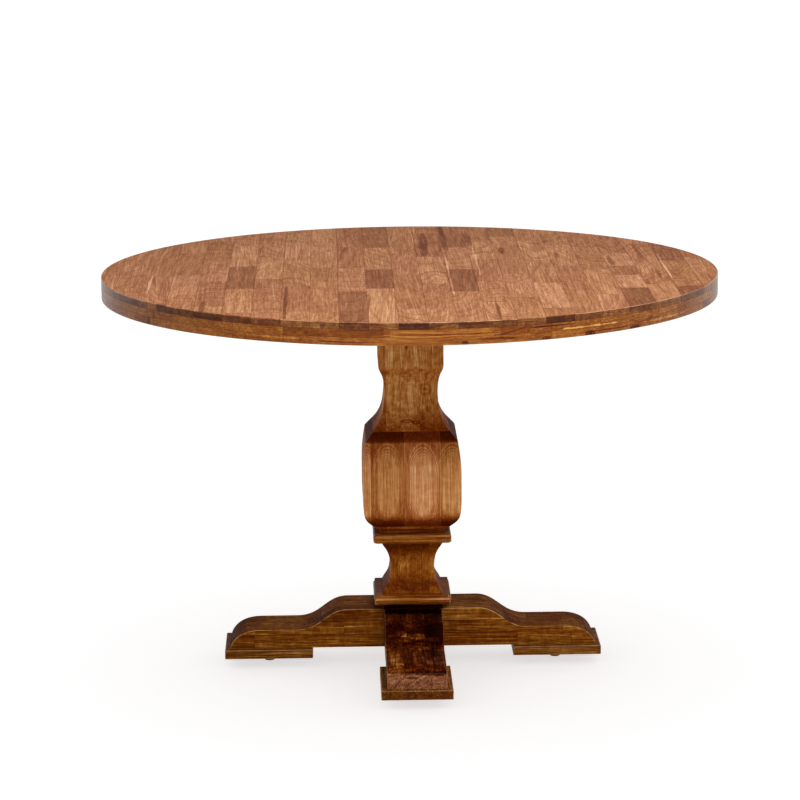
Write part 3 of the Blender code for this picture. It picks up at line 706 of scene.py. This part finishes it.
# A knot in the waist, two short cracks under it, and one down the middle of the head.
POST_KNOTS = (
    ((0.0278, -0.0520, 0.5411), (0.0085, 0.02, 0.0105), 0.8),
    ((-0.0075, -0.0655, 0.4815), (0.0100, 0.01, 0.0028), 2.0),
    ((0.0085, -0.0660, 0.4790), (0.0060, 0.01, 0.0034), 2.4),
    ((-0.0085, -0.0620, 0.6500), (0.0022, 0.01, 0.0260), 1.6),
)

FINGER = 0.0055  # half the length of a finger joint's fingers


def build_core_layer(name, node, material, z_steps, known, rounded):
    """A layer of long strips, finger-jointed end to end.

    known holds (end joints, darknesses) for some strips, by number counted from the front.
    """
    low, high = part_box(node)
    radius = high.x
    if rounded:
        rim = [(radius, high.z)] + arc((radius - RIM_EASE, low.z + RIM_EASE), RIM_EASE, 0, -90, 5)
    else:
        rim = [(radius, high.z), (radius, low.z)]
    bm = disc_mesh(rim, range(1, len(rim) - 1))
    strips = [FIRST_STRIP_SEAM + STRIP_PITCH * k for k in range(STRIP_SEAMS)]
    rows = [low.z + (high.z - low.z) * k / z_steps for k in range(1, z_steps)]
    boards = []
    for number, ((near, far), strip) in enumerate(split(bm, bm.faces, 1, strips)):
        dice = random.Random(f"{name} strip {number}")
        joints, darknesses = known.get(number, (random_cuts(dice, -radius, radius, 0.20, 0.42), ()))
        staves = {}
        for row, (level, faces) in enumerate(split(bm, strip, 2, rows)):
            shift = FINGER if row % 2 else -FINGER
            for (left, right), group in split(bm, faces, 0, [x + shift for x in joints]):
                place = sum(1 for x in joints if x + shift <= left + 1e-6)
                if place not in staves:
                    key = f"{name} {number} {place}"
                    tone = stave_tone(random.Random(key), 0.015)
                    if darknesses:
                        tone = (darknesses[place], *tone[1:])
                    staves[place] = Stave(key, (-FAR, near, -FAR), (FAR, far, FAR), 0, tilt=0.03, tone=tone)
                boards.append((staves[place], group))
    return finish_piece(name, bm, boards, [material], [node])


# -------- pedestal

POST_CORNER = 0.0016
STEP_CORNER = 0.0012
STEP_EASE = 0.001
CORE_SEAMS = [-0.0486, -0.0211, 0.0154, 0.0435]
SKIN_SEAMS = [-0.0790, -0.0144, 0.0534]
SKIN_START = 0.0730  # the boards that make up the bulb are glued on outside this
SKIN_DARKNESS = [0.25, 0.38, 0.12, 0.46]
BULB_HALF = 0.0938
PITH_DEPTH = 0.070  # how far in front of the bulb's faces its boards' rings are centred


def core_boards(bm, faces, key, seams_x, seams_y, grain=2, shade=0.0):
    """Upright (or lying) staves between the seams of a square block, all darkened by shade."""
    boards = []
    for (left, right), column in split(bm, faces, 0, seams_x):
        for (near, far), group in split(bm, column, 1, seams_y):
            name = f"{key} {left:.4f} {near:.4f}"
            stave = Stave(name, (left, near, -FAR), (right, far, FAR), grain)
            stave.tone = darker(stave.tone, shade)
            boards.append((stave, group))
    return boards


def skin_boards(bm, faces, axis, sign):
    """The bulb's outer boards on one side, whose rings make tall arches on the face."""
    across = 1 - axis
    boards = []
    for (left, right), group in split(bm, faces, across, SKIN_SEAMS):
        low = [-FAR, -FAR, -FAR]
        high = [FAR, FAR, FAR]
        low[across], high[across] = left, right
        (low if sign > 0 else high)[axis] = sign * SKIN_START
        stave = Stave(f"bulb {axis} {sign} {left:.4f}", low, high, 2)
        pith = Vector((0.0, 0.0, -len(boards) - 1.0))
        pith[axis] = sign * (BULB_HALF + PITH_DEPTH)
        pith[across] = (max(left, -0.1) + min(right, 0.1)) / 2
        stave.matrix = Matrix.Translation(-pith)
        stave.grain = Vector((0.0, 0.0, 1.0))
        stave.tone = (SKIN_DARKNESS[len(boards)], stave.tone[1], 0.9)
        stave.finish = 1
        boards.append((stave, group))
    return boards


def build_upper_post(material, skin_material):
    """The square block from head to bulb, whose bulb is built out with boards on all four sides."""
    low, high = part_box("upper_post")
    base = low.z
    head = (0.062, 0.318)
    waist = (0.0508, 0.260)
    crease = (0.0875, 0.174)
    shoulder = (BULB_HALF, 0.113)
    belly = (BULB_HALF, 0.060)
    outline = [(0.062, high.z - base), head]
    outline += bezier(head, (0.0624, 0.3011), (0.0509, 0.3054), waist)
    outline += bezier(waist, (0.0534, 0.2052), (0.0675, 0.2001), crease, 20)
    outline += bezier(crease, (0.0890, 0.1640), (0.0936, 0.1400), shoulder, 12)
    outline += [belly]
    outline += bezier(belly, (0.0917, 0.0206), (0.0910, 0.0227), (0.066, 0.0), 18)
    bm = square_mesh([(a, base + z) for a, z in outline], POST_CORNER)
    s = SKIN_START
    boards = []
    for (near, far), slab in split(bm, bm.faces, 1, [-s, s]):
        if far <= -s + 1e-6 or near >= s - 1e-6:
            boards += skin_boards(bm, slab, 1, 1 if near > 0 else -1)
            continue
        for (left, right), group in split(bm, slab, 0, [-s, s]):
            if right <= -s + 1e-6 or left >= s - 1e-6:
                boards += skin_boards(bm, group, 0, 1 if left > 0 else -1)
            else:
                boards += core_boards(bm, group, "post core", CORE_SEAMS, CORE_SEAMS)
    return finish_piece("post_block", bm, boards, [material, skin_material], ["upper_post"])


def build_neck(material):
    low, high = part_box("neck_block")
    base = low.z
    height = high.z - base
    end = 0.058
    waist = (0.042, 0.0498)
    shoulder = (end, height - 0.0025)
    outline = [(end, height), shoulder]
    outline += bezier(shoulder, (0.0528, 0.0874), (0.0429, 0.0816), waist)
    outline += bezier(waist, (0.0417, 0.0198), (0.0524, 0.0184), (end, 0.0))
    bm = square_mesh([(a, base + z) for a, z in outline], POST_CORNER)
    boards = core_boards(bm, bm.faces, "neck", [-0.030, 0.0185, 0.032], [-0.020, 0.024], shade=0.75)
    return finish_piece("neck", bm, boards, [material], ["neck_block"])


def moulding_profile(half, height, lip, inset, round_top, base):
    """The edge of a square moulding: a lip set back from the edge, then a rounded belly."""
    r = 0.006
    top = height - lip
    points = [(half - inset, height)]
    if lip:
        points += [(half - inset, top)]
    points += arc((half - round_top, top - round_top), round_top, 60 if lip else 70, 0, 6)
    points += arc((half - r, r), r, 0, -80, 8)
    points += [(half - r, 0.0)]
    return [(a, base + z) for a, z in points]


def build_plate(name, node, profile, eased_rows, seams_y, material, corner, shade=0.0):
    bm = square_mesh(profile, corner, eased_rows)
    boards = core_boards(bm, bm.faces, name, [], seams_y, grain=0, shade=shade)
    return finish_piece(name, bm, boards, [material], [node])


def build_mouldings(material, foot_material):
    low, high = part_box("collar_plate")
    profile = moulding_profile(high.x, high.z - low.z, 0.0, 0.003, 0.004, low.z)
    build_plate("collar_moulding", "collar_plate", profile, range(1, 6), [0.012], material,
                corner=0.003)
    low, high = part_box("plinth_plate")
    profile = moulding_profile(high.x, high.z - low.z, 0.0044, 0.0028, 0.005, low.z)
    build_plate("plinth_moulding", "plinth_plate", profile, range(2, 7), [-0.018], material,
                corner=0.003, shade=0.25)
    low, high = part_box("collar_fillet")
    inner = high.x - STEP_EASE
    profile = [(inner, high.z)]
    profile += arc((inner, high.z - STEP_EASE), STEP_EASE, 60, 0, 3)
    profile += [(high.x, low.z)]
    # The step under the collar is darkened by 0.6 as painted shade, where the bulb above shades it.
    build_plate("collar_step", "collar_fillet", profile, (1, 2), [0.03], material,
                corner=STEP_CORNER, shade=0.6)
    low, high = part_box("base_block")
    profile = [(high.x, high.z), (high.x, low.z)]
    # The block under the plinth is darkened to near black: painted shade in the recess under the plinth.
    build_plate("base_step", "base_block", profile, (), [0.0], foot_material,
                corner=STEP_CORNER, shade=1.4)


# -------- cross foot

BEAM_EASE = 0.0034
NUT_POCKET_RADIUS = 0.0205  # the recess round the tie rod's lower nut
NUT_POCKET_DEPTH = 0.018
TOE_START = 0.305  # from here out, a beam's bottom layer is its toe
BEAM_LAYERS = [0.063, 0.0885]
# Where the stain pooled or was wiped off on the front foot, and a painted shadow on the beam's flat top in
# front of the plinth: place, half size, strength.
FRONT_STAIN_AND_SHADOW = (
    # Painted shadow: the flat top of the front beam, darkened where the plinth shades it.
    ((0.000, -0.078, 0.112), (0.090, 0.020, 0.010), 1.6),
    ((0.000, -0.176, 0.090), (0.028, 0.008, 0.012), -0.7),
    ((0.012, -0.192, 0.081), (0.040, 0.009, 0.010), 0.6),
    ((0.022, -0.232, 0.073), (0.018, 0.050, 0.010), 0.7),
    ((-0.040, -0.280, 0.073), (0.020, 0.038, 0.010), -0.5),
    ((-0.035, -0.327, 0.067), (0.026, 0.012, 0.006), -0.5),
)
TOE_STREAKS = (
    ((0.035, -0.338, 0.0625), (0.036, 0.030, 0.0050), 1.1),
    ((-0.010, -0.343, 0.0560), (0.013, 0.030, 0.0020), 0.9),
    ((-0.014, -0.340, 0.0620), (0.020, 0.030, 0.0018), 0.7),
    ((0.026, -0.348, 0.0490), (0.003, 0.030, 0.0100), 0.5),
)


def beam_outline(low, high, axis):
    """The ogee outline of a beam, as (along, height) points."""
    top = high.z
    bottom = low.z
    length = high[axis]
    ledge = bottom + 0.036
    half = [(0.125, top)]
    half += bezier((0.125, top), (0.167, top), (0.175, ledge), (0.222, ledge), 24)
    half += [(0.293, ledge)]
    half += bezier((0.293, ledge), (0.344, ledge), (length, bottom + 0.003), (length, bottom), 16)
    return half + [(-x, z) for x, z in reversed(half)]


def build_beam(name, node, axis, across_seams, shades, materials):
    """across_seams and shades hold the upright seams and the extra darkness of each of the beam's
    three layers, from the bottom up. A second material is for the toes alone."""
    low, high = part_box(node)
    side = 1 - axis
    bm = extruded_mesh(beam_outline(low, high, axis), high[side], BEAM_EASE, axis)
    middle = (0.0, 0.0, low.z)
    if axis == 0:
        drill(bm, middle, NUT_POCKET_RADIUS, NUT_POCKET_DEPTH)
    else:
        cut_out(bm, middle, high[side])  # the other beam passes below this one
    boards = []
    for number, (level, layer) in enumerate(split(bm, bm.faces, 2, BEAM_LAYERS)):
        for across, strip in split(bm, layer, side, across_seams[number]):
            dice = random.Random(f"{name} {number} {across[0]:.4f}")
            cuts = random_cuts(dice, -0.36, 0.36, 0.16, 0.34)
            if number == 0:
                cuts = [-TOE_START, *[x for x in cuts if abs(x) < TOE_START - 0.04], TOE_START]
            for along, group in split(bm, strip, axis, cuts):
                box_low = [0.0, 0.0, level[0]]
                box_high = [0.0, 0.0, level[1]]
                box_low[axis], box_high[axis] = along
                box_low[side], box_high[side] = across
                key = f"{name} {number} {across[0]:.4f} {along[0]:.4f}"
                stave = Stave(key, box_low, box_high, axis)
                stave.tone = darker(stave.tone, shades[number])
                # The toes get a lighter, greyer stain: partly their cut ends' own colour, partly a painted
                # sheen.
                if number == 0 and max(abs(x) for x in along) > TOE_START + 0.01:
                    stave.finish = len(materials) - 1
                boards.append((stave, group))
    return finish_piece(name, bm, boards, materials, [node])


HOLE_GAP = 0.0003
SCREW_SEAT = 0.0030  # how far a hole goes up past the bottom of a screw's head
PAD_EASE = 0.0018


def drill_for(bm, node, bottom, top):
    """A hole from bottom up to top that clears a round CAD node."""
    low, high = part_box(node)
    middle = (low + high) / 2
    drill(bm, (middle.x, middle.y, bottom), high.x - middle.x + HOLE_GAP, top - bottom)


def build_pads(material):
    """The boards under the beams' ends, with holes for their levellers and screws."""
    for leg, side in (("right", 1), ("left", 1), ("back", 0), ("front", 0)):
        low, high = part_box("foot_pad_" + leg)
        bm = eased_box(low, high, PAD_EASE)
        drill_for(bm, "leveller_insert_" + leg, low.z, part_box("leveller_insert_" + leg)[1].z)
        for number in (1, 2):
            screw = f"pad_screw_{leg}_{number}"
            drill_for(bm, screw, low.z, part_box(screw)[0].z + SCREW_SEAT)
        seams = [low[side] + 0.049, low[side] + 0.092]
        boards = []
        for across, group in split(bm, bm.faces, side, seams):
            box_low = [-FAR] * 3
            box_high = [FAR] * 3
            box_low[side], box_high[side] = across
            key = f"pad {leg} {across[0]:.4f}"
            tone = stave_tone(random.Random(key), 0.0)
            stave = Stave(key, box_low, box_high, 1 - side, tone=tone)
            boards.append((stave, group))
        finish_piece("pad_" + leg, bm, boards, [material], ["foot_pad_" + leg])


# -------- hidden pieces

def dress_cad_nodes():
    """Better materials for the CAD nodes that show as they are."""
    steel = steel_material()
    rubber = rubber_material()
    bearers = {"top_bearer_x": bearer_material("bearer_x_wood", 0),
               "top_bearer_y": bearer_material("bearer_y_wood", 1)}
    for name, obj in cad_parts.items():
        if name in bearers:
            dress(obj, bearers[name])
        elif name.startswith("leveller_foot"):
            dress(obj, rubber)
        elif not obj.hide_render:
            dress(obj, steel)


def dress(obj, material):
    obj.data.materials.clear()
    obj.data.materials.append(material)


# -------- stage, camera and lights

CAMERA_PLACE = (-0.1545, -6.2021, 1.7361)
CAMERA_YAW = 1.2433  # degrees, turned towards +X
CAMERA_PITCH = 11.178  # degrees, looking down
CAMERA_ROLL = 0.493
CAMERA_LENS = 148.56  # millimetres
FLOOR_REACH = 40.0
FLOOR_GREY = (0.67, 0.69, 0.70, 1.0)
FLOOR_GLOW = 0.65
WHITE = (1.0, 1.0, 1.0, 1.0)
ROOM_LIGHT = 0.62


def build_camera():
    yaw = math.radians(CAMERA_YAW)
    pitch = math.radians(CAMERA_PITCH)
    roll = math.radians(CAMERA_ROLL)
    forward = Vector((math.sin(yaw) * math.cos(pitch), math.cos(yaw) * math.cos(pitch), -math.sin(pitch)))
    level = Vector((math.cos(yaw), -math.sin(yaw), 0.0))
    down = forward.cross(level)
    right = level * math.cos(roll) + down * math.sin(roll)
    up = -(down * math.cos(roll) - level * math.sin(roll))
    data = bpy.data.cameras.new("camera")
    data.lens = CAMERA_LENS
    data.sensor_width = 36.0
    data.clip_end = 200.0
    camera = new_object("camera", data)
    rotation = Matrix((right, up, -forward)).transposed().to_4x4()
    camera.matrix_world = Matrix.Translation(CAMERA_PLACE) @ rotation
    bpy.context.scene.camera = camera


def build_floor():
    mesh = bpy.data.meshes.new("floor")
    corners = [(x * FLOOR_REACH, y * FLOOR_REACH, 0.0) for x, y in ((-1, -1), (1, -1), (1, 1), (-1, 1))]
    mesh.from_pydata(corners, [], [(0, 1, 2, 3)])
    floor = new_object("floor", mesh)
    t = Tree("floor_paper")
    t.surface("Base Color", FLOOR_GREY)
    t.surface("Roughness", 0.9)
    t.surface("Specular IOR Level", 0.1)
    t.surface("Emission Color", WHITE)
    t.surface("Emission Strength", FLOOR_GLOW)
    mesh.materials.append(t.material)
    return floor


def soft_box(name, place, aim, size, power, unlit):
    """A rectangular light that one object, unlit, doesn't receive."""
    data = bpy.data.lights.new(name, "AREA")
    data.shape = "RECTANGLE"
    data.size = size[0]
    data.size_y = size[1]
    data.energy = power
    lamp = new_object(name, data)
    lamp.location = place
    lamp.rotation_euler = (Vector(aim) - Vector(place)).to_track_quat("-Z", "Y").to_euler()
    receivers = bpy.data.collections.new(name + " receivers")
    receivers.objects.link(unlit)
    receivers.collection_objects[0].light_linking.link_state = "EXCLUDE"
    lamp.light_linking.receiver_collection = receivers


def build_light(floor):
    """A white room, and a softbox in front. The floor doesn't receive the softbox, so that its soft
    shadow comes from the room alone. The camera sees the room as plain white."""
    world = bpy.data.worlds.new("studio")
    bpy.context.scene.world = world
    world.use_nodes = True
    nodes = world.node_tree.nodes
    links = world.node_tree.links
    light = nodes["Background"]
    wall = nodes.new("ShaderNodeBackground")
    for background, strength in ((light, ROOM_LIGHT), (wall, 1.0)):
        background.inputs["Color"].default_value = WHITE
        background.inputs["Strength"].default_value = strength
    shown = nodes.new("ShaderNodeMixShader")
    links.new(nodes.new("ShaderNodeLightPath").outputs["Is Camera Ray"], shown.inputs[0])
    links.new(light.outputs[0], shown.inputs[1])
    links.new(wall.outputs[0], shown.inputs[2])
    links.new(shown.outputs[0], nodes["World Output"].inputs["Surface"])
    soft_box("front_softbox", (0.8, -3.0, 2.7), (0.0, -0.2, 0.5), (2.4, 1.6), 145.0, floor)


# -------- build

bpy.context.scene.view_settings.view_transform = "Standard"
build_camera()
build_light(build_floor())

top_wood = wood_material("top_wood", (0.417, 0.177, 0.077), roughness=0.5, specular=0.02, seam=0.5,
                         ring_strength=0.5, ring_gap=0.0013, wander=0.35, edge_wear_and_highlight=0.1, fineness=1.2,
                         blotch=0.25, thirst=0.0, streaks=FACE_STREAKS, neutral=0.5, dark_soak=0.85,
                         cast=(0.72, 0.74, 0.82))
rim_wood = wood_material("rim_wood", (0.220, 0.088, 0.028), roughness=0.3, specular=0.13, seam=0.4,
                         end_grain=0.1, thirst=0.2, ring_strength=1.0, ripple=1.4, edge_wear_and_highlight=1.4,
                         edge_gloss=1.0, neutral=0.45)
edge_wood = wood_material("edge_wood", (0.210, 0.068, 0.0085), roughness=0.3, specular=0.13, end_grain=0.0,
                          thirst=0.2, ring_strength=0.7, ring_gap=0.0030, fineness=0.8, ripple=0.2,
                          edge_wear_and_highlight=0.2, seam=0.15, knots=RIM_KNOTS, streaks=RIM_STREAKS, dark_soak=0.7)
post_wood = wood_material("post_wood", (0.47, 0.205, 0.060), roughness=0.5, specular=0.01, ring_strength=0.8,
                          ripple=1.3, fineness=1.4, end_grain=1.1, knots=POST_KNOTS)
neck_wood = wood_material("neck_wood", (0.44, 0.222, 0.058), roughness=0.5, specular=0.01, ring_strength=0.8,
                          ripple=1.3, fineness=1.4, end_grain=1.1)
bulb_wood = wood_material("bulb_wood", (0.41, 0.178, 0.062), roughness=0.5, specular=0.01, ring_gap=0.0011,
                          ring_strength=1.1, wander=0.10, end_grain=1.7, thirst=2.3, seam=-0.5,
                          dense=(0.0734, 0.0765))
moulding_wood = wood_material("moulding_wood", (0.21, 0.067, 0.009), specular=0.02, end_grain=1.0,
                              edge_wear_and_highlight=0.8, fineness=1.4)
foot_wood = wood_material("foot_wood", (0.158, 0.054, 0.0062), roughness=0.55, specular=0.01, end_grain=0.35,
                          ring_strength=0.4, ripple=0.8, edge_wear_and_highlight=1.4, fineness=1.3)
# A darker stain than foot_wood: partly the front beam's own colour, partly painted shade on its up-facing
# slopes under the top.
front_wood = wood_material("front_wood", (0.138, 0.037, 0.0042), roughness=0.5, specular=0.02, end_grain=0.3,
                           ring_strength=0.9, ripple=2.0, blotch=3.0, edge_wear_and_highlight=1.2, fineness=1.6,
                           streaks=FRONT_STAIN_AND_SHADOW)
# The toes' lighter, greyer stain is partly the cut ends' own colour and partly a painted sheen of the bright
# room on their curved fronts.
toe_wood_with_sheen = wood_material("toe_wood_with_sheen", (0.305, 0.158, 0.084), specular=0.02, end_grain=0.2, thirst=0.3,
                         ring_strength=0.9, ripple=1.5, edge_wear_and_highlight=0.6, fineness=1.6, streaks=TOE_STREAKS)
pad_wood = wood_material("pad_wood", (0.122, 0.042, 0.0058), specular=0.02, end_grain=0.3, ring_strength=0.4,
                         fineness=1.5)

build_top_face(top_wood, rim_wood)
# Strip 0 runs along the front rim in both core layers: its end joints, and how dark each length is.
middle_strips = {0: ((-0.054, 0.137), (0.45, 0.0, 0.35))}
bottom_strips = {0: ((-0.12, 0.20), (0.15, 0.1, 0.3))}
build_core_layer("top_strips_middle", "top_middle_layer", edge_wood, 7, middle_strips, False)
build_core_layer("top_strips_bottom", "top_bottom_layer", edge_wood, 7, bottom_strips, True)
build_upper_post(post_wood, bulb_wood)
build_neck(neck_wood)
build_mouldings(moulding_wood, foot_wood)
build_beam("foot_beam_left_right", "foot_beam_x", 0, ([-0.012], [0.014], [-0.020]),
           (0.1, 0.0, 0.0), [foot_wood])
# The front and back beam's middle and upper layers are darkened by 0.5 and 0.7, partly as painted shade on
# its up-facing slopes under the top.
build_beam("foot_beam_front_back", "foot_beam_y", 1, ([], [-0.0228, 0.031], [-0.015, 0.020]),
           (0.1, 0.5, 0.7), [front_wood, toe_wood_with_sheen])
build_pads(pad_wood)
dress_cad_nodes()

bpy.context.view_layer.update()
